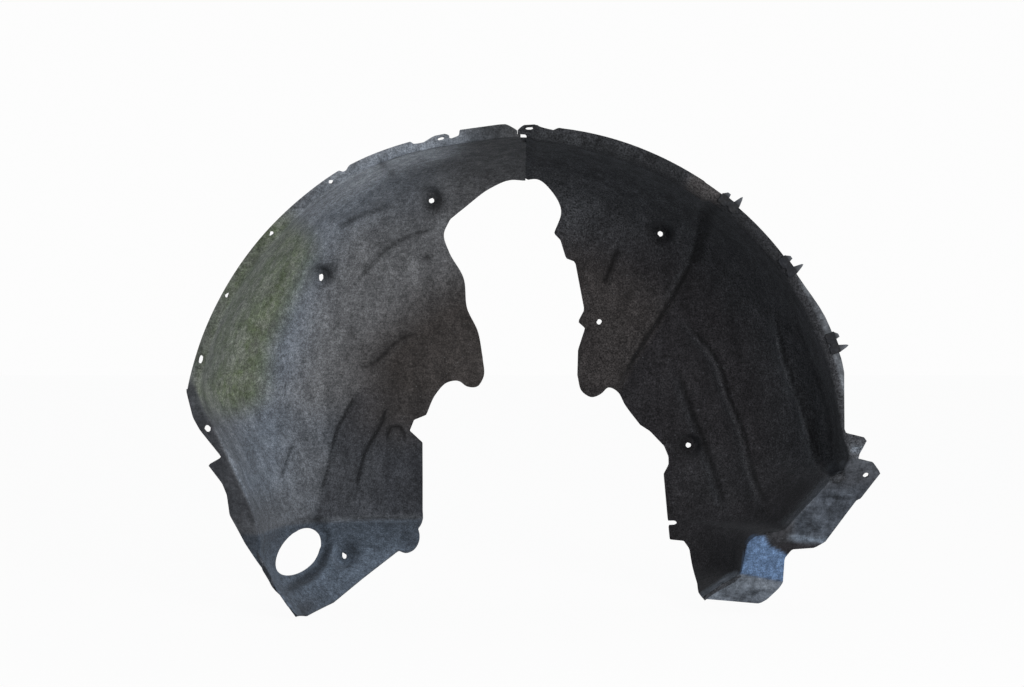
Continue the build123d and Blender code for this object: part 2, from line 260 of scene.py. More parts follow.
def rear_arch_row(degrees):
    t = float(ease((90 - degrees) / 90))
    wall = mix(CROWN_WALL, REAR_AXLE_WALL, t)
    lip = mix(RIDGE_TOP, ARCH_RADIUS - LIP_WIDTH, float(ease(degrees / RIDGE_SPAN)))
    cut = (lip, 0.0, wall, mix(CROWN_DEPTH, AXLE_DEPTH, t), mix(CROWN_SQUARE, REAR_SQUARE, t))
    turn = float(ramp(*SILL_START, degrees))
    width = mix(ARCH_RADIUS + REAR_SWELL + 1 - lip, SILL_TOP_WIDTH, turn)
    crown = float(ramp(*REAR_CROWN, degrees))
    radius = mix(mix(LIP_FOLD, CROWN_FOLD, crown), SILL_FOLD_RADIUS, turn)
    return arch_row(degrees, cut, width, SILL_LEAN * turn, radius)


def rear_fold(height):
    """Where the sill flange leaves the bowl: a straight fold, then round the foot's facet to the toe."""
    heights = (-LEG_DROP, -186, -153, -112, -104, -94, 0)
    places = (198, 241, 289, 298, 306, 346, RIDGE_TOP)
    return np.interp(height, heights, places)


def rear_leg_row(height):
    lip = float(rear_fold(height))
    straight = mix(RIDGE_TOP, RIDGE_BOTTOM, -height / LEG_DROP)
    start = -SILL_DRIFT * height + FACET_DRIFT * (lip - straight)
    wall = REAR_AXLE_WALL + WALL_SLOPE * height
    cut = (lip, start, wall, AXLE_DEPTH + DEPTH_SLOPE * height, REAR_SQUARE)
    width = mix(SILL_TOP_WIDTH, SILL_FOOT_WIDTH, float(ramp(*SILL_WIDENS, height)))
    return leg_row(height, 1, cut, width, SILL_LEAN, SILL_FOLD_RADIUS)


def grid_normals(points):
    """Unit normals of a grid of points, turned to the wheel's side."""
    normal = np.cross(np.gradient(points, axis=0), np.gradient(points, axis=1))
    normal /= np.maximum(np.linalg.norm(normal, axis=2, keepdims=True), TINY)
    return normal if normal[..., 1].mean() < 0 else -normal


# forms pressed into the shells, as heights towards the wheel

def along_line(x, z, line):
    """Distance from a line, which side (right of its way is positive) and how far along it, from 0 to 1."""
    best = np.full(x.shape, np.inf)
    side = np.zeros(x.shape)
    place = np.zeros(x.shape)
    count = len(line) - 1
    for k in range(count):
        (ax, az), (bx, bz) = line[k], line[k + 1]
        dx, dz = bx - ax, bz - az
        t = np.clip(((x - ax) * dx + (z - az) * dz) / (dx * dx + dz * dz), 0, 1)
        gap = np.hypot(x - ax - t * dx, z - az - t * dz)
        near = gap < best
        best = np.where(near, gap, best)
        side = np.where(near, np.sign((x - ax) * dz - (z - az) * dx), side)
        place = np.where(near, (k + t) / count, place)
    return best, side, place


def ends(place):
    """1 along most of a line, fading to 0 at both of its ends."""
    return ramp(0.0, 0.18, place) * ramp(1.0, 0.82, place)


def ridge(x, z, keys, width, height):
    """A rounded rib or, with a negative height, a groove that dies out at both ends."""
    gap, _, place = along_line(x, z, smooth_through(keys, LINE_STEP))
    return height * np.exp(-((gap / width) ** 2)) * ends(place)


def step(x, z, keys, rise, fall, height):
    """A step up to the right of a line, as wide as rise, that sinks back over the distance fall."""
    gap, side, place = along_line(x, z, smooth_through(keys, LINE_STEP))
    signed = gap * side
    return height * ramp(-rise / 2, rise / 2, signed) * ramp(fall, rise, signed) * ends(place)


SWAGE = [(-227, 89), (-239, 63), (-255, 33), (-263, 3), (-271, -37), (-281, -71)]
THIRD_STEP = [(-186, 72), (-197, 32), (-215, 3), (-225, -30), (-231, -66)]
HUMP = [(-186, 8), (-183, 30), (-173, 36), (-163, 28), (-162, 8)]
GROOVE = [(-313, 19), (-321, -10), (-327, -37)]
WALL_CREASE = [(-134, 169), (-169, 155), (-209, 121), (-238, 113)]
ROOF_CREASE = [(-172, 347), (-218, 329), (-261, 306)]
CORNER_CREASE = [(-107, 318), (-178, 291), (-237, 230)]
SHELF_LINE = [(-250, -95), (-189, -97), (-125, -97)]
CROWN_CREASE = [(242, 352), (247, 325), (244, 275), (221, 224), (194, 179), (161, 128), (138, 84)]
INNER_GROOVE = [(144, 291), (131, 262), (120, 229)]
REAR_RIBS = [
    [(222, 120), (246, 46), (263, 3), (276, -40), (290, -95)],
    [(222, 200), (238, 178), (280, 123), (295, 74), (314, 25), (325, -31), (345, -95)],
    [(345, 204), (366, 121), (389, 50), (404, -14), (409, -40)],
    [(390, 130), (404, 90), (414, 50), (420, -8), (421, -34)],
]

# the oval duct hole: its middle, length, width and turn, and the dish pressed round it
DUCT = (-300, -133, 58, 47.5, 58)
DISH_DEPTH = 13.0
DISH_EDGE = (45, 33)


def to_right(x, z, keys):
    """Distance from a line that runs downward, positive on the side of larger X."""
    gap, side, _ = along_line(x, z, smooth_through(keys, LINE_STEP))
    return -gap * side


WAVE_HEIGHT = 1.8


def waves(x, z, across, bend, sway, down, shift):
    """The slight unevenness of moulded felt: crossed waves that sway."""
    return WAVE_HEIGHT * np.sin(x / across + bend * np.sin(z / sway)) * np.sin(z / down + shift)


# ribs and grooves of the front half: keys, width and height
FRONT_RIDGES = (
    (HUMP, 4, 6.0), (GROOVE, 4, -3.5), (WALL_CREASE, 8, 6.0), (ROOF_CREASE, 7, -3.5),
    (CORNER_CREASE, 8, -4.0), (SHELF_LINE, 5, -3.0),
)


def front_forms(x, z):
    """Two raised steps, ribs and grooves, and the dish, which is shallower on its front side."""
    height = step(x, z, SWAGE[::-1], 4, 62, 8.0)
    height += step(x, z, THIRD_STEP[::-1], 6, 50, 7.5)
    for keys, width, rise in FRONT_RIDGES:
        height += ridge(x, z, keys, width, rise)
    height += waves(x, z, 37, 1.2, 61, 43, 0.6)
    dish = np.hypot(x - DUCT[0], z - DUCT[1])
    wall = mix(0.25, 1.0, ramp(-30, 20, x - DUCT[0] + 0.5 * (z - DUCT[1])))
    return height - DISH_DEPTH * wall * ramp(*DISH_EDGE, dish)


PANEL_HEIGHT = 6.0
CHANNEL_DEPTH = 8.0


def rear_forms(x, z):
    """The raised panel by the crown, the ribs, the channel between two of them and a groove."""
    panel = ramp(3, -3, to_right(x, z, CROWN_CREASE)) * ramp(75, 95, z) * ramp(0, 14, x - SEAM_X)
    height = PANEL_HEIGHT * panel
    height += ridge(x, z, REAR_RIBS[0], 10, 6.0) + ridge(x, z, REAR_RIBS[1], 9, 6.5)
    height += step(x, z, REAR_RIBS[1], 5, 34, 5.5)
    channel = ramp(-2, 4, to_right(x, z, REAR_RIBS[2])) * ramp(2, -4, to_right(x, z, REAR_RIBS[3]))
    height -= CHANNEL_DEPTH * channel * ramp(215, 150, z) * ramp(-45, -15, z)
    height += ridge(x, z, REAR_RIBS[2], 7, 4.0)
    height += ridge(x, z, INNER_GROOVE, 6, -4.5)
    return height + waves(x, z, 33, 1.1, 57, 47, 1.9)


PAD_RADIUS = 11.0
PAD_SLOPE = 7


def press_pad(points, x, z, depth):
    """A round pocket with a flat floor square to Y."""
    gap = np.hypot(points[..., 0] - x, points[..., 2] - z)
    deep = np.maximum(depth - points[..., 1], 0.0)
    points[..., 1] += deep * ramp(PAD_RADIUS + PAD_SLOPE, PAD_RADIUS, gap)


# outlines seen along Y

def inside(x, z, outline):
    """Distance to a closed outline, positive inside it."""
    best = np.full(x.shape, np.inf)
    within = np.zeros(x.shape, bool)
    for (ax, az), (bx, bz) in zip(outline, np.roll(outline, -1, axis=0)):
        dx, dz = bx - ax, bz - az
        t = np.clip(((x - ax) * dx + (z - az) * dz) / max(dx * dx + dz * dz, TINY), 0, 1)
        best = np.minimum(best, np.hypot(x - ax - t * dx, z - az - t * dz))
        if dz != 0:
            within ^= ((az > z) != (bz > z)) & (x < ax + (z - az) * dx / dz)
    return np.where(within, best, -best)


def off_circle(x, z, cx, cz, radius):
    return np.hypot(x - cx, z - cz) - radius


def off_slot(x, z, cx, cz, length, width, degrees):
    """Distance from an oblong hole, positive outside it."""
    a = math.radians(degrees)
    half = (length - width) / 2
    u = (x - cx) * math.cos(a) + (z - cz) * math.sin(a)
    v = (z - cz) * math.cos(a) - (x - cx) * math.sin(a)
    return np.hypot(np.maximum(np.abs(u) - half, 0), v) - width / 2


def off_oval(x, z, cx, cz, length, width, degrees):
    a = math.radians(degrees)
    u = ((x - cx) * math.cos(a) + (z - cz) * math.sin(a)) / (length / 2)
    v = ((z - cz) * math.cos(a) - (x - cx) * math.sin(a)) / (width / 2)
    return (np.hypot(u, v) - 1) * width / 2


def arc_points(first, last, radius, over=0.0):
    return [polar(radius(degrees) + over, degrees) for degrees in np.linspace(first, last, ARC_POINTS)]


FRONT_TABS = [
    (-3.5, 427.5), (-9, 431), (-18, 435.8), (-28, 435), (-78.5, 427.8), (-79.5, 420.5), (-92.5, 415.5),
    (-92, 421), (-97, 423), (-112, 420), (-126, 411.5), (-139, 409.5), (-141, 412.7),
]
FRONT_NICK = [(-223, 383), (-225, 376), (-231, 373)]
BUMPER_EDGE = [
    (-437, 94), (-427, 53), (-418, 37), (-389, 2), (-409, -9), (-390, -33), (-384, -48), (-381, -75),
    (-360, -111), (-331, -150), (-303, -192), (-292, -203), (-281, -207),
]
FRONT_INNER = np.vstack([
    [(-279, -208), (-249, -196), (-215, -170)],
    smooth_through([(-168, -136), (-158, -139), (-146, -134), (-140, -120), (-143, -109)], 3),
    [(-137, -98), (-137, 10), (-155, 27), (-149, 42), (-132, 49)],
    smooth_through(
        [(-132, 49), (-118, 79), (-102, 95), (-86, 97), (-74, 89), (-60, 89), (-51, 102), (-52, 131)], 3,
    ),
    smooth_through(
        [(-52, 131), (-59, 168), (-74, 200), (-79, 243), (-100, 281), (-107, 305), (-98, 326)], 5,
    ),
    smooth_through([(-98, 326), (-78, 342), (-41, 369), (-12, 380), (SEAM_X, 379)], 5),
    [(SEAM_X, 424)],
])
FRONT_ARC = arc_points(109, 120.2, arch_edge) + FRONT_NICK + arc_points(121.9, 168.5, arch_edge, 0.7)
FRONT_OUTLINE = np.vstack([FRONT_TABS, FRONT_ARC, BUMPER_EDGE, FRONT_INNER])
FRONT_LIP_END = np.array([(-3.5, 440), (-3.5, 421), (SEAM_X, 415), (40, 415), (40, 440)])

REAR_TABS = [
    (-2.9, 422.8), (-2.9, 428), (0, 431), (5, 434.8), (19, 434.8), (28, 431), (34, 429.5), (44, 427),
    (50, 431),
]
REAR_FOOT = [
    (185, 26), (205, 5), (211, -10), (211, -21), (204, -34), (206, -60), (211, -125), (230, -126),
    (237, -136), (243, -178), (241, -186), (245, -188), (318, -195), (328, -189), (343, -174), (348, -166),
    (349, -133), (358, -121), (388, -119), (402, -111), (441, -55), (446, -53), (470, -19), (460, -5),
    (441, 0), (439, 2), (453, 27), (424, 34),
]
REAR_INNER = np.vstack([
    smooth_through([(SEAM_X, 380), (26, 380), (45, 365), (59, 339), (49, 306)], 4),
    [(58, 297), (66, 271), (79, 266), (92, 198), (83, 181), (93, 172), (83, 141), (82, 105)],
    smooth_through(
        [(82, 105), (89, 82), (103, 74), (116, 79), (126, 88), (138, 83), (150, 63), (171, 35)], 3,
    ),
])
REAR_ARC = arc_points(5, 83, rear_edge)
REAR_OUTLINE = np.vstack([[(SEAM_X, 422.8)], REAR_INNER, REAR_FOOT, REAR_ARC, REAR_TABS[::-1]])

# fixing holes: round ones as places, slots as place, length, width and turn
HOLE_RADIUS = 4.0
LIP_HOLE_RADIUS = 3.4
LIP_HOLE_CIRCLE = 436
LIP_HOLE_ANGLES = (124.3, 137.8, 150.8)
LONG_LIP_HOLE = polar(LIP_HOLE_CIRCLE, 162.7)
FRONT_ROOF_HOLE = (-124, 352)
FRONT_WALL_SLOT = (-278, 243)
FRONT_FOOT_SLOT = (-242, -142)
REAR_ROOF_HOLE = (199, 305)
REAR_WALL_HOLE = (240, 6)
FRONT_SLOTS = (
    (-103, 416.5, 10, 3.4, 14), (*LONG_LIP_HOLE, 11, 7, 75), (-408, 39, 12, 9, 30),
    (*FRONT_WALL_SLOT, 11, 6, 90), (*FRONT_FOOT_SLOT, 11, 6, 90),
)
REAR_HOLES = (REAR_ROOF_HOLE, (113, 181), REAR_WALL_HOLE, (451, -22))
REAR_SLOTS = ((12, 430, 11, 3.4, 0), (214, -101, 14, 7, 5))


def clear_of(x, z, keep, holes, radius, slots):
    """Takes round holes and slots out of what is kept."""
    for hole in holes:
        keep = np.minimum(keep, off_circle(x, z, *hole, radius))
    for slot in slots:
        keep = np.minimum(keep, off_slot(x, z, *slot))
    return keep


def front_keep(x, y, z):
    """Distance to the front half's edges, positive on the felt. Its end is cut back near the lip."""
    keep = inside(x, z, FRONT_OUTLINE)
    keep = np.minimum(keep, np.where(y < LAP_START, -inside(x, z, FRONT_LIP_END), FAR))
    lip_holes = [polar(LIP_HOLE_CIRCLE, degrees) for degrees in LIP_HOLE_ANGLES]
    keep = clear_of(x, z, keep, lip_holes, LIP_HOLE_RADIUS, FRONT_SLOTS)
    keep = clear_of(x, z, keep, [FRONT_ROOF_HOLE], HOLE_RADIUS, ())
    return np.minimum(keep, off_oval(x, z, *DUCT))


def rear_keep(x, y, z):
    """The same for the rear half."""
    return clear_of(x, z, inside(x, z, REAR_OUTLINE), REAR_HOLES, HOLE_RADIUS, REAR_SLOTS)


def lap_keep(x, y, z):
    """The tongue of the rear half that lies behind the front half."""
    along = np.minimum(x - (SEAM_X - LAP_LENGTH), SEAM_X + LAP_ROOT - x)
    return np.minimum(along, np.minimum(y - LAP_START, LAP_END - y))


# sheets

# a corner nearer to the cut than this share of an edge is moved on to it
SNAP = 0.3


def trim(points, keep):
    """Cuts a grid of points along the line where keep is zero. Gives the corners and faces left."""
    corner = points.reshape(-1, 3).copy()
    d = keep.ravel().copy()
    index = np.arange(len(d)).reshape(keep.shape)
    across = np.stack([index[:, :-1].ravel(), index[:, 1:].ravel()], axis=1)
    down = np.stack([index[:-1].ravel(), index[1:].ravel()], axis=1)
    edge = np.concatenate([across, down])
    edge = edge[(d[edge[:, 0]] > 0) != (d[edge[:, 1]] > 0)]
    share = d[edge[:, 0]] / (d[edge[:, 0]] - d[edge[:, 1]])
    target = corner[edge[:, 0]] + share[:, None] * (corner[edge[:, 1]] - corner[edge[:, 0]])
    close = np.minimum(share, 1 - share)
    mover = np.where(share < 0.5, edge[:, 0], edge[:, 1])
    order = np.argsort(-close)
    order = order[close[order] < SNAP]
    corner[mover[order]] = target[order]
    d[mover[order]] = 0.0

    around = [index[:-1, :-1], index[:-1, 1:], index[1:, 1:], index[1:, :-1]]
    quads = np.stack(around, axis=-1).reshape(-1, 4)
    some = (d[quads] > 0).any(axis=1)
    whole = some & (d[quads] >= 0).all(axis=1)
    faces = [list(quad) for quad in quads[whole]]
    extra = []
    made = {}
    for quad in quads[some & ~whole]:
        loop = []
        for i, j in zip(quad, np.roll(quad, -1)):
            if d[i] >= 0:
                loop.append(i)
            if d[i] * d[j] < 0:
                key = (min(i, j), max(i, j))
                if key not in made:
                    made[key] = len(corner) + len(extra)
                    extra.append(corner[i] + (corner[j] - corner[i]) * d[i] / (d[i] - d[j]))
                loop.append(made[key])
        if len(loop) >= 3:
            faces.append(loop)
    if extra:
        corner = np.concatenate([corner, np.array(extra)])
    used = np.unique(np.concatenate(faces))
    renumber = np.zeros(len(corner), int)
    renumber[used] = np.arange(len(used))
    return corner[used], [list(renumber[face]) for face in faces]


def thicken(corner, faces, thickness):
    """A closed sheet: its wheel side is the given face and its back lies the thickness behind it."""
    normal = np.zeros_like(corner)
    for face in faces:
        p = corner[face]
        facing = np.cross(p[1:-1] - p[0], p[2:] - p[0]).sum(axis=0)
        normal[face] += facing
    normal /= np.maximum(np.linalg.norm(normal, axis=1, keepdims=True), TINY)
    if normal[:, 1].mean() > 0:
        faces = [face[::-1] for face in faces]
        normal = -normal
    count = len(corner)
    sides = {}
    for face in faces:
        for a, b in zip(face, face[1:] + face[:1]):
            sides[(a, b)] = True
    rim = [(a, b) for a, b in sides if (b, a) not in sides]
    shell = faces + [[v + count for v in reversed(face)] for face in faces]
    shell += [[b, a, a + count, b + count] for a, b in rim]
    sharp = {frozenset(pair) for pair in rim} | {frozenset((a + count, b + count)) for a, b in rim}
    return np.concatenate([corner, corner - normal * thickness]), shell, sharp


# the back keeps an even dust and a share of the other marks
BACK_DUST = 0.2
BACK_SHARE = 0.25


def make_object(name, sheets, marks, material):
    """One mesh object from closed sheets in millimetres, with a number at each corner for every mark."""
    corners = []
    faces = []
    sharp = set()
    for sheet_corners, sheet_faces, sheet_sharp in sheets:
        base = sum(len(part) for part in corners)
        corners.append(sheet_corners)
        faces += [[v + base for v in face] for face in sheet_faces]
        sharp |= {frozenset(v + base for v in pair) for pair in sheet_sharp}
    corner = np.concatenate(corners)
    mesh = bpy.data.meshes.new(name)
    mesh.from_pydata(((corner + WHEEL_CENTRE) / 1000).tolist(), [], faces)
    mesh.polygons.foreach_set("use_smooth", [True] * len(mesh.polygons))
    keen = mesh.attributes.new("sharp_edge", "BOOLEAN", "EDGE")
    keen.data.foreach_set("value", [frozenset(edge.vertices) in sharp for edge in mesh.edges])
    # thicken puts the back's corners after those of the wheel side
    back = np.concatenate([np.arange(len(part)) >= len(part) / 2 for part in corners])
    for mark, values in marks(corner[:, 0], corner[:, 1], corner[:, 2]).items():
        values = np.where(back, BACK_DUST if mark == "dust_and_painted_light" else BACK_SHARE * values, values)
        mesh.attributes.new(mark, "FLOAT", "POINT").data.foreach_set("value", np.clip(values, 0, 1))
    mesh.materials.append(material)
    mesh.update()
    piece = bpy.data.objects.new(name, mesh)
    scene.collection.objects.link(piece)
    return piece


# materials

class Nodes:
    """Shorthand for building a material's nodes."""

    def __init__(self, name):
        self.material = bpy.data.materials.new(name)
        self.material.use_nodes = True
        self.tree = self.material.node_tree
        self.shader = self.tree.nodes["Principled BSDF"]
        self.place = self.add("ShaderNodeTexCoord").outputs["Object"]

    def add(self, kind, **settings):
        node = self.tree.nodes.new(kind)
        for key, value in settings.items():
            setattr(node, key, value)
        return node

    def link(self, source, target):
        self.tree.links.new(source, target)

    def feed(self, socket, value):
        if isinstance(value, bpy.types.NodeSocket):
            self.link(value, socket)
        else:
            socket.default_value = value

    def noise(self, scale, detail=4.0, roughness=0.6, stretch=None):
        node = self.add("ShaderNodeTexNoise")
        node.inputs["Scale"].default_value = scale
        node.inputs["Detail"].default_value = detail
        node.inputs["Roughness"].default_value = roughness
        place = self.place
        if stretch:
            mapping = self.add("ShaderNodeMapping")
            mapping.inputs["Scale"].default_value = stretch
            self.link(place, mapping.inputs["Vector"])
            place = mapping.outputs["Vector"]
        self.link(place, node.inputs["Vector"])
        return node.outputs["Fac"]

    def level(self, value, low, high, to_low=0.0, to_high=1.0):
        node = self.add("ShaderNodeMapRange", interpolation_type="SMOOTHSTEP")
        for key, number in (("From Min", low), ("From Max", high), ("To Min", to_low), ("To Max", to_high)):
            node.inputs[key].default_value = number
        self.link(value, node.inputs["Value"])
        return node.outputs["Result"]

    def combine(self, operation, a, b):
        node = self.add("ShaderNodeMath", operation=operation)
        self.feed(node.inputs[0], a)
        self.feed(node.inputs[1], b)
        return node.outputs["Value"]

    def mark(self, name):
        return self.add("ShaderNodeAttribute", attribute_name=name).outputs["Fac"]

    def tint(self, factor, below, above, blend="MIX"):
        node = self.add("ShaderNodeMix", data_type="RGBA", blend_type=blend)
        self.feed(node.inputs["Factor"], factor)
        for socket, colour in ((node.inputs[6], below), (node.inputs[7], above)):
            self.feed(socket, colour if isinstance(colour, bpy.types.NodeSocket) else (*colour, 1.0))
        return node.outputs[2]

    def bump(self, height, distance, strength, after=None):
        node = self.add("ShaderNodeBump")
        node.inputs["Distance"].default_value = distance
        node.inputs["Strength"].default_value = strength
        self.link(height, node.inputs["Height"])
        if after:
            self.link(after, node.inputs["Normal"])
        return node.outputs["Normal"]


# colours of what lies on the felt and of painted sky light and highlight, and how dark a full painted shade
# leaves it
# painted sky light: the bluish tint of faces that turn to the sky
PAINTED_SKY_BLUE = (0.115, 0.145, 0.190)
EARTH = (0.037, 0.033, 0.032)
MOSS_DARK = (0.078, 0.100, 0.052)
MOSS_PALE = (0.150, 0.165, 0.132)
PAINTED_HIGHLIGHT_COLOUR = (0.36, 0.39, 0.435)
DEEPEST_SHADE = 0.26
FELT_SHEEN = (0.85, 0.91, 1.0, 1.0)


def felt_material(name, fibre, dust_and_painted_light, lighting_colour, grain, nap):
    """Needled felt: dark fibres under dust and painted highlights, with marks for painted sky light, moss,
    earth, painted shadow and a painted lighting colour.
    """
    n = Nodes(name)
    fine = n.noise(1100, 3, 0.7)
    fuzz = n.noise(480, 5, 0.75)
    tuft = n.noise(170, 4, 0.65)
    patch = n.noise(16, 6, 0.62)
    cloud = n.noise(5, 4, 0.55)
    strands = n.noise(70, 6, 0.7, stretch=(1.0, 1.0, 4.5))
    # the dust mark lightens the fibres: real dust, and painted highlights where faces catch the light
    lightening = n.combine("MULTIPLY", n.mark("dust_and_painted_light"), n.level(patch, 0.25, 0.7, 0.72, 1.12))
    colour = n.tint(lightening, fibre, dust_and_painted_light)
    # painted sky light, patchy
    sky_amount = n.combine("MULTIPLY", n.mark("painted_sky_light"), n.level(cloud, 0.3, 0.7, 0.6, 1.0))
    colour = n.tint(sky_amount, colour, PAINTED_SKY_BLUE)
    colour = n.tint(n.mark("earth"), colour, EARTH)
    clumps = n.noise(42, 7, 0.75)
    green = n.tint(n.level(clumps, 0.38, 0.62), MOSS_DARK, MOSS_PALE)
    growth = n.combine("MULTIPLY", n.mark("moss"), n.level(cloud, 0.25, 0.6, 0.55, 1.0))
    colour = n.tint(growth, colour, green)
    # a painted highlight on the roof below the lip
    colour = n.tint(n.mark("painted_highlight"), colour, PAINTED_HIGHLIGHT_COLOUR)
    # painted lighting: painted shade on the front half, painted sky light on the rear's facet
    colour = n.tint(n.mark("painted_lighting"), colour, lighting_colour)
    # painted shade: darkens creases, hollows and faces turned from the light
    colour = n.tint(1.0, colour, n.level(n.mark("painted_shade"), 0.0, 1.0, 1.0, DEEPEST_SHADE), "MULTIPLY")
    hairiness = n.combine("SUBTRACT", 1.0, n.mark("smooth"))
    colour = n.tint(hairiness, colour, n.level(fuzz, 0.30, 0.72, 1 - grain, 1 + grain), "MULTIPLY")
    colour = n.tint(hairiness, colour, n.level(tuft, 0.30, 0.72, 0.74, 1.28), "MULTIPLY")
    colour = n.tint(1.0, colour, n.level(strands, 0.3, 0.7, 0.84, 1.18), "MULTIPLY")
    blotch = n.noise(26, 6, 0.7, stretch=(1.7, 1.7, 0.7))
    colour = n.tint(1.0, colour, n.level(blotch, 0.3, 0.7, 0.74, 1.3), "MULTIPLY")
    dirt = n.level(n.noise(75, 7, 0.78), 0.34, 0.66, 0.35, 1.65)
    colour = n.tint(n.mark("smooth"), colour, dirt, "MULTIPLY")
    flecks = n.level(n.noise(420, 2, 0.5), 0.68, 0.76, 0.0, 0.4)
    colour = n.tint(flecks, colour, dust_and_painted_light)
    n.link(colour, n.shader.inputs["Base Color"])
    n.link(n.level(patch, 0.3, 0.7, 1.0, 0.9), n.shader.inputs["Roughness"])
    n.shader.inputs["Specular IOR Level"].default_value = 0.12
    n.shader.inputs["Sheen Weight"].default_value = nap
    n.shader.inputs["Sheen Roughness"].default_value = 0.5
    n.shader.inputs["Sheen Tint"].default_value = FELT_SHEEN
    soft = n.bump(patch, 0.004, 0.25)
    hairy = n.bump(fuzz, 0.0014, 0.9, after=soft)
    n.link(n.bump(fine, 0.0006, 0.7, after=hairy), n.shader.inputs["Normal"])
    return n.material


# colours of the clips, clean and dusty: the body is painted near black as shade, the fins greyer
CLIP_BODY_IN_SHADE = ((0.005, 0.0053, 0.0063), (0.013, 0.014, 0.017))
CLIP_FINS = ((0.070, 0.075, 0.085), (0.110, 0.115, 0.130))
CLIP_SCUFF = (0.060, 0.063, 0.070)


def clip_material():
    """Moulded plastic, painted near black on the body as shade and greyer on the fins, with scuffs and a
    dusty bloom.
    """
    n = Nodes("clip_plastic")
    marking = n.level(n.noise(240, 5, 0.7), 0.45, 0.75)
    dusty = n.level(n.noise(60, 4, 0.6), 0.35, 0.7)
    body = n.tint(dusty, *CLIP_BODY_IN_SHADE)
    fins = n.tint(dusty, *CLIP_FINS)
    colour = n.tint(n.mark("fin"), body, fins)
    colour = n.tint(n.combine("MULTIPLY", marking, 0.3), colour, CLIP_SCUFF)
    n.link(colour, n.shader.inputs["Base Color"])
    n.link(n.level(dusty, 0, 1, 0.5, 0.8), n.shader.inputs["Roughness"])
    n.shader.inputs["Specular IOR Level"].default_value = 0.08
    n.link(n.bump(n.noise(700, 3, 0.6), 0.0004, 0.5), n.shader.inputs["Normal"])
    return n.material


# where dust, moss and earth lie, and where light and shade are painted: places in millimetres or degrees,
# strengths about 0 to 1

def shade_lines(x, z, lines):
    """Painted shadow held in creases: each line has its keys, width and strength."""
    dark = np.zeros(x.shape)
    for keys, width, strength in lines:
        dark = np.maximum(dark, np.abs(ridge(x, z, keys, width, strength)))
    return dark


def spot(x, z, cx, cz, size):
    """A soft round patch: 1 in its middle, fading over about its size."""
    return np.exp(-((x - cx) ** 2 + (z - cz) ** 2) / size ** 2)


# places of marks on the front half
# small dark marks, laid into the painted shade mark
DARK_MARKS = ((-180, 386), (-173, 381), (-269, 345), (-218, 260), (-131, 273))
DARK_MARK_SIZE = 7
# painted shadows in the pockets round the fixing holes
FRONT_POCKET_SHADOWS = ((-120, 348, 17), (-270, 250, 17), (-234, -136, 25))
# a band of dust with painted sky light along the shoulder by the lip
BAND_LINE = [(-60, 408), (-166, 385), (-262, 322), (-322, 169), (-352, 46), (-352, -30)]
BAND_WIDTH = 34
MOSS_LINE = [(-322, 285), (-352, 221), (-382, 155), (-388, 95)]
# the line beside the swage, right of which painted shade falls
DARK_EDGE = [(-222, 100), (-239, 63), (-255, 33), (-271, -37), (-290, -95)]
# a patch of painted sky light on the roof, bluer and darker
ROOF_SKY_SPOT = (-165, 358, 55)
# painted shade on a steep part of the leg and at the tip
LEG_SHADE_SPOT = (-352, -80, 22)
TIP_SHADE_SPOT = (-282, -200, 12)


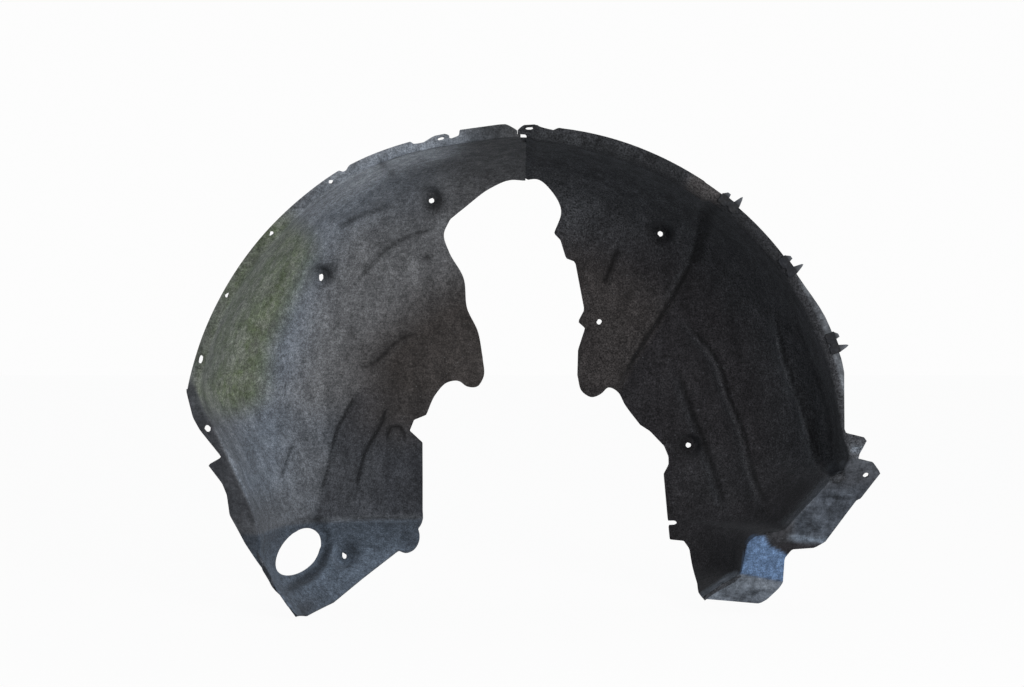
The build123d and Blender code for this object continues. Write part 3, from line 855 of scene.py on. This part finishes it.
def front_marks(x, y, z):
    """How strongly each mark lies on the front half, at every corner. make_object keeps it from 0 to 1."""
    radius = np.hypot(x, z)
    flange = ramp(2, 9, -x - front_fold(z)) * ramp(112, 90, z)
    flange_bottom = ramp(-60, -115, z)
    inner = ramp(300, 170, radius) * ramp(-20, 60, z)
    seam = mix(ramp(-235, -150, x), ramp(-200, -40, x), 0.45) * ramp(250, 370, z) * ramp(1, 5, y)
    # right of the dark edge the felt lies in shade, which is painted by taking dust away
    right = ramp(-5, 8, to_right(x, z, DARK_EDGE)) * ramp(-98, -88, z) * ramp(110, 70, z)
    low = right * ramp(-215, -165, x) * ramp(60, 10, z)
    leg = ramp(90, 20, z) * (1 - right)
    foot = ramp(-96, -104, z)
    band = np.exp(-((along_line(x, z, smooth_through(BAND_LINE, 20))[0] / BAND_WIDTH) ** 2))
    dust_and_painted_light = 0.60 - 0.28 * inner - 0.30 * seam - 0.52 * right - 0.10 * low - 0.18 * leg - 0.30 * foot
    dust_and_painted_light += mix(0.34, 0.22, ramp(60, 120, z) * ramp(380, 330, z)) * band * (1 - seam)
    # painted sky light on the band, the leg and the foot's shelf, which face up
    painted_sky_light = 0.5 * band * (1 - seam) + 0.22 * leg + 0.14 * right + 0.85 * foot
    sky_amount = spot(x, z, *ROOF_SKY_SPOT)
    dust_and_painted_light -= 0.16 * sky_amount
    painted_sky_light += 0.12 * sky_amount
    moss = ramp(58, 14, along_line(x, z, MOSS_LINE)[0])
    # painted shade on the bumper flange, lighter towards its bottom, and on the leg and the tip
    painted_lighting = flange * (0.85 - 0.7 * flange_bottom) + 0.5 * spot(x, z, *LEG_SHADE_SPOT) * (1 - flange)
    painted_lighting = np.maximum(painted_lighting, 0.7 * spot(x, z, *TIP_SHADE_SPOT))
    lines = [
        (SWAGE, 3, 0.85), (THIRD_STEP, 3, 0.8), (HUMP, 3, 0.9), (GROOVE, 3, 0.7), (WALL_CREASE, 4, 0.7),
        (ROOF_CREASE, 5, 0.7), (CORNER_CREASE, 4, 0.7), (SHELF_LINE, 4, 0.7),
    ]
    # painted shade along the creases and steps, and over the foot's shelf
    painted_shade = np.maximum(shade_lines(x, z, lines), foot * mix(0.40, 0.62, ramp(-150, -110, z)))
    # painted shadow on the far wall of the duct's dish
    dish_shadow = np.exp(-(((off_oval(x, z, *DUCT) - 10) / 9) ** 2))
    dish_shadow *= ramp(-14, 12, x - DUCT[0] - 0.25 * (z - DUCT[1]))
    painted_shade = np.maximum(painted_shade, 0.95 * dish_shadow)
    for pocket_shadow in FRONT_POCKET_SHADOWS:
        painted_shade = np.maximum(painted_shade, 0.95 * spot(x, z, *pocket_shadow))
    for marking in DARK_MARKS:
        painted_shade = np.maximum(painted_shade, 0.65 * spot(x, z, *marking, DARK_MARK_SIZE))
    angle = np.degrees(np.arctan2(z, x))
    # painted shade on the lip, which faces the light more than the roof beside it, most of all by the crown
    lip = ramp(12, 4, y) * ramp(120, 126, angle) * ramp(90, 130, z)
    painted_shade = np.maximum(painted_shade, 0.42 * lip)
    crown_lip = ramp(12, 4, y) * ramp(-105, -40, x) * ramp(330, 360, z)
    painted_shade = np.maximum(painted_shade, 0.9 * crown_lip)
    # a painted highlight on the roof below the lip, where it turns to the light
    painted_highlight = ramp(97, 108, angle) * mix(0.85, 0.22, ramp(114, 132, angle)) * ramp(90, 130, z)
    painted_highlight *= ramp(150, 70, y) * ramp(2, 10, y) * (1 - 0.8 * moss)
    earth = 0.85 * inner + 0.4 * ramp(340, 240, radius) * ramp(60, 130, z)
    painted_sky_light *= 1 - flange * (1 - 0.7 * flange_bottom)
    return {
        "dust_and_painted_light": dust_and_painted_light, "painted_sky_light": painted_sky_light, "moss": moss, "painted_lighting": painted_lighting, "earth": earth, "painted_shade": painted_shade, "painted_highlight": painted_highlight,
        "smooth": 0.4 * flange,
    }


# places of marks on the rear half
FACET = np.array([
    (291, -153), (299, -113), (306, -103), (320, -102), (328, -116), (344, -124), (352, -129), (352, -165),
])
TOE = np.array([(236, -186), (289, -153), (352, -165), (352, -200), (236, -200)])
# folds whose edges get a painted highlight
SILL_FOLD = [(350, -103), (370, -106), (390, -108), (412, -111)]
# a thin light line on the toe
TOE_LIGHT_LINE = [(311, -169), (322, -170), (333, -172)]
EAR_FOLD = [(428, 13), (440, 13), (454, 10)]
PLATE_FOLD = [(393, -50), (415, -51), (440, -53)]
# painted shade standing in for small holes on the plate and the toe
PAINTED_HOLE_SHADES = ((311, -180), (388, -95), (379, -88))
PAINTED_HOLE_SIZE = 4.5
REAR_POCKET_SHADOWS = (REAR_ROOF_HOLE, (190, 312), REAR_WALL_HOLE)
POCKET_SHADOW_SIZE = 15
REAR_BLOOM = (279, -40, 45)
CREASE_SHADOW = [(252, 340), (253, 290), (240, 255)]
# painted highlights beside the ribs
RIB_HIGHLIGHTS = (0.08, 0.09, 0.12, 0.08)


def rear_marks(x, y, z):
    """The same for the rear half, where the painted lighting mark is painted sky light on the foot's facet.
    """
    radius = np.hypot(x, z)
    angle = np.degrees(np.arctan2(z, x))
    fold = x - rear_fold(z)
    flange = ramp(-1, 3, fold) * ramp(3, -1, z)
    facet = ramp(-2, 2, inside(x, z, FACET)) * ramp(54, 44, y)
    toe = ramp(-1, 2, inside(x, z, TOE)) * flange * (1 - facet)
    under = flange * ramp(-109, -114, z) * ramp(332, 345, x) * (1 - facet) * (1 - toe)
    plate = flange * (1 - facet) * (1 - toe) * (1 - under)
    ear = ramp(424, 430, x) * ramp(0, 3, z) * ramp(40, 36, z)
    lip = ramp(405, 413, radius) * ramp(18, 6, y) * ramp(30, 36, angle)
    brown = lip * ramp(51, 53, angle) * ramp(60, 58, angle)
    sliver = ramp(427, 431, radius) * ramp(34, 30, angle) * ramp(9, 13, angle)
    crown = ramp(250, 370, z)
    outer = ramp(330, 395, radius) * ramp(-60, 0, z) * (1 - crown)
    # painted highlights along the sill and ear folds and along the fold's edge, with a light line on the
    # toe
    lightening = np.maximum(ridge(x, z, SILL_FOLD, 4, 1.0), ridge(x, z, EAR_FOLD, 4, 0.7))
    rim = np.exp(-(((fold - 1) / 3) ** 2)) * ramp(-95, -85, z) * ramp(-4, -14, z)
    folds = np.maximum(0.7 * lightening + 0.35 * rim, ridge(x, z, TOE_LIGHT_LINE, 2.5, 0.9))
    folds += 0.07 * spot(x, z, *REAR_BLOOM)
    upper = plate * ramp(-48, -28, z)
    # painted light on the crown and the outer wall, which are seen at a slant
    dust_and_painted_light = 0.01 + 0.24 * crown + 0.15 * outer + 0.11 * plate - 0.06 * upper + folds
    dust_and_painted_light += 0.60 * toe + 0.22 * ear + 0.55 * sliver
    # painted highlights on the lit side of the ribs and of the crown crease
    for keys, rise in zip(REAR_RIBS, RIB_HIGHLIGHTS):
        dust_and_painted_light += ridge(x + 7, z, keys, 6, rise)
    dust_and_painted_light += ridge(x + 8, z, CROWN_CREASE, 7, 0.06)
    lines = [
        (REAR_RIBS[0], 6, 0.8), (REAR_RIBS[1], 4, 0.95), (REAR_RIBS[2], 4, 0.8), (REAR_RIBS[3], 3, 0.6),
        (INNER_GROOVE, 5, 0.8), (CROWN_CREASE, 4, 0.95), (CREASE_SHADOW, 9, 0.7),
        (PLATE_FOLD, 3, 0.7),
    ]
    # painted shade on the lip, which faces the light more than the roof beside it
    painted_shade = np.maximum(shade_lines(x, z, lines), 0.6 * (lip - brown))
    # painted shade in the channel between two ribs
    valley = ramp(0, 4, to_right(x, z, REAR_RIBS[2])) * ramp(6, 0, to_right(x, z, REAR_RIBS[3]))
    painted_shade = np.maximum(painted_shade, 0.45 * valley * ramp(150, 85, z) * ramp(-40, -15, z))
    # painted shadows in the pockets round the holes
    for pocket_shadow in REAR_POCKET_SHADOWS:
        painted_shade = np.maximum(painted_shade, 0.6 * spot(x, z, *pocket_shadow, POCKET_SHADOW_SIZE))
    # painted shade for the small holes
    for hole in PAINTED_HOLE_SHADES:
        painted_shade = np.maximum(painted_shade, spot(x, z, *hole, PAINTED_HOLE_SIZE))
    panel = ramp(12, -4, to_right(x, z, CROWN_CREASE)) * ramp(330, 250, radius) * ramp(60, 90, z)
    earth = np.maximum(0.6 * panel, 0.7 * brown)
    # painted sky light on the plate, the toe and the lit folds
    painted_sky_light = 0.3 * plate * ramp(355, 365, x) - 0.2 * upper + 0.35 * toe + 0.6 * lightening
    smooth = np.maximum(0.75 * np.maximum(flange - facet, 0), 0.6 * sliver)
    smooth = np.maximum(smooth, 0.45 * facet)
    return {
        "dust_and_painted_light": dust_and_painted_light, "painted_sky_light": painted_sky_light, "moss": 0 * x, "painted_lighting": facet, "earth": earth, "painted_shade": painted_shade,
        "painted_highlight": 0 * x, "smooth": smooth,
    }


FRONT_FIBRE = (0.022, 0.021, 0.0225)
FRONT_DUST = (0.172, 0.178, 0.190)
# the painted shade colour of the bumper flange
FLANGE_SHADE_COLOUR = (0.034, 0.036, 0.042)
REAR_FIBRE = (0.0150, 0.0142, 0.0160)
REAR_DUST_AND_HIGHLIGHT = (0.120, 0.130, 0.145)
# the painted sky light on the foot's facet
FACET_SKY_COLOUR = (0.085, 0.135, 0.230)
front_felt = felt_material("front_felt", FRONT_FIBRE, FRONT_DUST, FLANGE_SHADE_COLOUR, grain=0.55, nap=0.06)
rear_felt = felt_material("rear_felt", REAR_FIBRE, REAR_DUST_AND_HIGHLIGHT, FACET_SKY_COLOUR, grain=0.9, nap=0.035)


def pressed(keys, forms, pads, keep):
    """One half shell as a closed sheet: smooth rows, pressed forms, pockets, then the trimmed outline."""
    points = smooth_through(keys, STEP)
    height = forms(points[..., 0], points[..., 2])
    points += grid_normals(points) * height[..., None]
    for pad in pads:
        press_pad(points, *pad)
    return thicken(*trim(points, keep(*np.moveaxis(points, -1, 0))), FELT)


# pockets round the holes, with the depth of each floor, and where the cuts lie
FRONT_PADS = ((*FRONT_ROOF_HOLE, 222), (*FRONT_WALL_SLOT, 202), (*FRONT_FOOT_SLOT, 161))
REAR_PADS = ((*REAR_ROOF_HOLE, 222), (*REAR_WALL_HOLE, 238))
FRONT_ANGLES = np.linspace(86, 167, 21)
REAR_ANGLES = np.linspace(92, 0, 23)
LAP_ANGLES = np.linspace(94, 86, 5)
FRONT_LEG_HEIGHTS = (0, -45, -86, -95, -104, -130, -158, -LEG_DROP)
REAR_LEG_HEIGHTS = (-30, -70, -94, -104, -112, -132, -153, -170, -186, -LEG_DROP)

front_keys = [front_arch_row(degrees) for degrees in FRONT_ANGLES]
front_keys += [front_leg_row(height) for height in FRONT_LEG_HEIGHTS]
front_sheet = pressed(front_keys, front_forms, FRONT_PADS, front_keep)
front_shell = make_object("front_shell", [front_sheet], front_marks, front_felt)
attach(front_shell, "root")
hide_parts("front_liner")

rear_keys = [rear_arch_row(degrees) for degrees in REAR_ANGLES]
rear_keys += [rear_leg_row(height) for height in REAR_LEG_HEIGHTS]
rear_sheet = pressed(rear_keys, rear_forms, REAR_PADS, rear_keep)
lap_points = smooth_through([front_arch_row(degrees) for degrees in LAP_ANGLES], STEP)
lap_points -= grid_normals(lap_points) * LAP_DEPTH
lap_sheet = thicken(*trim(lap_points, lap_keep(*np.moveaxis(lap_points, -1, 0))), FELT)
rear_shell = make_object("rear_shell", [rear_sheet, lap_sheet], rear_marks, rear_felt)
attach(rear_shell, "root")
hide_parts("rear_liner")

# spring clips over the rear lip, drawn as (along the lip, outward) about each clip's middle

CLIP_SHEET = 1.6
CLIP_GAP = 0.3
CLIP_TOP = 1.9
CLIP_ROUNDING = 0.0005
CLIP_PLACES = (("upper", 50.7), ("middle", 35.6), ("lower", 20.2))
BRIDGE_BITE = 0.2
FIN_FADE = 5
FIN_HEIGHT = 14.5
FIN_LEAN = 3.5
FRONT_LEG = [
    (-15, -9), (-13, -11), (-3, -11), (-1, -8), (2, -8), (4, -11), (11, -11), (13, -9), (13, CLIP_TOP),
    (-15, CLIP_TOP),
]
BACK_LEG = [
    (-15, -5), (13.5, -5), (13.5, 1.5), (10.5, 11), (8.6, FIN_HEIGHT), (7, 12.5), (3.5, 1.5),
    (-4, 1.5), (-5.5, 7.5), (-10, 7.3), (-15, 1.5),
]
BRIDGE = [(-14, CLIP_GAP), (12, CLIP_GAP), (12, CLIP_TOP), (-14, CLIP_TOP)]


def clip_plate(outline, front, back):
    """A flat plate as (along, outward, inboard) corners with its faces. Its fins lean to the wheel."""
    count = len(outline)
    corners = []
    for depth in (front, back):
        for along, outward in outline:
            lean = FIN_LEAN * max(0.0, outward / FIN_HEIGHT) ** 2
            corners.append((along, outward, depth - lean))
    faces = [list(range(count)), list(range(2 * count - 1, count - 1, -1))]
    for k in range(count):
        after = (k + 1) % count
        faces.append([k, k + count, after + count, after])
    return corners, faces


def clip_piece(name, degrees, material):
    """One clip at its angle on the rear lip: front leg, bridge and back leg with its two fins."""
    radius = rear_edge(degrees)
    out = np.array(polar(1, degrees))
    down = np.array([out[1], -out[0]])
    corners = []
    faces = []
    fins = []
    back = FELT + CLIP_GAP
    for outline, near, far in (
        (FRONT_LEG, -CLIP_GAP - CLIP_SHEET, -CLIP_GAP),
        (BRIDGE, -CLIP_GAP - BRIDGE_BITE, back + BRIDGE_BITE),
        (BACK_LEG, back, back + CLIP_SHEET),
    ):
        plate_corners, plate_faces = clip_plate(outline, near, far)
        faces += [[v + len(corners) for v in face] for face in plate_faces]
        for along, outward, depth in plate_corners:
            x, z = out * (radius + outward) + down * along
            corners.append((np.array([x, depth, z]) + WHEEL_CENTRE) / 1000)
            fins.append(min(1.0, max(0.0, (outward - CLIP_TOP) / FIN_FADE)))
    mesh = bpy.data.meshes.new(name)
    mesh.from_pydata([tuple(corner) for corner in corners], [], faces)
    mesh.attributes.new("fin", "FLOAT", "POINT").data.foreach_set("value", fins)
    mesh.materials.append(material)
    mesh.update()
    piece = bpy.data.objects.new(name, mesh)
    scene.collection.objects.link(piece)
    rounding = piece.modifiers.new("rounding", "BEVEL")
    rounding.width = CLIP_ROUNDING
    rounding.segments = 2
    rounding.limit_method = "ANGLE"
    return piece


plastic = clip_material()
for place, degrees in CLIP_PLACES:
    spring_clip = clip_piece("spring_clip_" + place, degrees, plastic)
    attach(spring_clip, "root")
    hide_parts("edge_clip_" + place)

# floor, light and camera

def seen_rays(tree):
    """1 for rays that show the background itself: to the camera, mirrored or through glass."""
    rays = tree.nodes.new("ShaderNodeLightPath")
    total = rays.outputs["Is Camera Ray"]
    for kind in ("Is Glossy Ray", "Is Transmission Ray"):
        either = tree.nodes.new("ShaderNodeMath")
        either.operation = "MAXIMUM"
        tree.links.new(total, either.inputs[0])
        tree.links.new(rays.outputs[kind], either.inputs[1])
        total = either.outputs["Value"]
    return total


# the stage, in metres and watts
FLOOR_SIZE = 40
FLOOR_GAP = 0.001
FLOOR_GREY = (0.6, 0.6, 0.6, 1)
FLOOR_GLOW = 0.95
SKY_COLOUR = (0.92, 0.96, 1.0, 1)
SKY_STRENGTH = 0.6
BACKDROP_WHITE = (0.98, 0.98, 0.98, 1)
KEY_PLACE = (0.9, -2.7, 0.55)
KEY_SIZE = 0.9
KEY_POWER = 72
KEY_COLOUR = (1.0, 0.99, 0.97)
CAMERA_PLACE = (-0.1869, -2.840, 0.0567)
CAMERA_LENS = 70.3

low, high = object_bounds()
middle = [(low[k] + high[k]) / 2 for k in range(3)]
bpy.ops.mesh.primitive_plane_add(size=FLOOR_SIZE, location=(middle[0], middle[1], low[2] - FLOOR_GAP))
floor = bpy.context.object
floor.name = "floor"
ground = bpy.data.materials.new("floor")
ground.use_nodes = True
tree = ground.node_tree
matt = tree.nodes["Principled BSDF"]
matt.inputs["Base Color"].default_value = FLOOR_GREY
matt.inputs["Roughness"].default_value = 0.9
glow = tree.nodes.new("ShaderNodeEmission")
share = tree.nodes.new("ShaderNodeMath")
share.operation = "MULTIPLY"
share.inputs[1].default_value = FLOOR_GLOW
blend = tree.nodes.new("ShaderNodeMixShader")
tree.links.new(seen_rays(tree), share.inputs[0])
tree.links.new(share.outputs["Value"], blend.inputs["Fac"])
tree.links.new(matt.outputs["BSDF"], blend.inputs[1])
tree.links.new(glow.outputs["Emission"], blend.inputs[2])
tree.links.new(blend.outputs["Shader"], tree.nodes["Material Output"].inputs["Surface"])
floor.data.materials.append(ground)

scene.view_settings.view_transform = "Standard"
world = bpy.data.worlds.new("studio")
scene.world = world
world.use_nodes = True
tree = world.node_tree
sky = tree.nodes["Background"]
sky.inputs["Color"].default_value = SKY_COLOUR
sky.inputs["Strength"].default_value = SKY_STRENGTH
white = tree.nodes.new("ShaderNodeBackground")
white.inputs["Color"].default_value = BACKDROP_WHITE
blend = tree.nodes.new("ShaderNodeMixShader")
tree.links.new(seen_rays(tree), blend.inputs["Fac"])
tree.links.new(sky.outputs["Background"], blend.inputs[1])
tree.links.new(white.outputs["Background"], blend.inputs[2])
tree.links.new(blend.outputs["Shader"], tree.nodes["World Output"].inputs["Surface"])


def lamp(name, place, target, size, power, colour):
    light = bpy.data.lights.new(name, "AREA")
    light.size = size
    light.energy = power
    light.color = colour
    item = bpy.data.objects.new(name, light)
    item.location = place
    aim = [t - p for t, p in zip(target, place)]
    azimuth = math.atan2(aim[0], -aim[1])
    drop = math.atan2(-aim[2], math.hypot(aim[0], aim[1]))
    item.rotation_euler = (math.pi / 2 - drop, 0, azimuth + math.pi)
    scene.collection.objects.link(item)


lamp("key", KEY_PLACE, (middle[0], 0.0, 0.0), KEY_SIZE, KEY_POWER, KEY_COLOUR)

camera = bpy.data.cameras.new("camera")
camera.lens = CAMERA_LENS
camera.sensor_width = 36.0
view = bpy.data.objects.new("camera", camera)
view.location = CAMERA_PLACE
view.rotation_euler = (math.pi / 2, 0, 0)
scene.collection.objects.link(view)
scene.camera = view
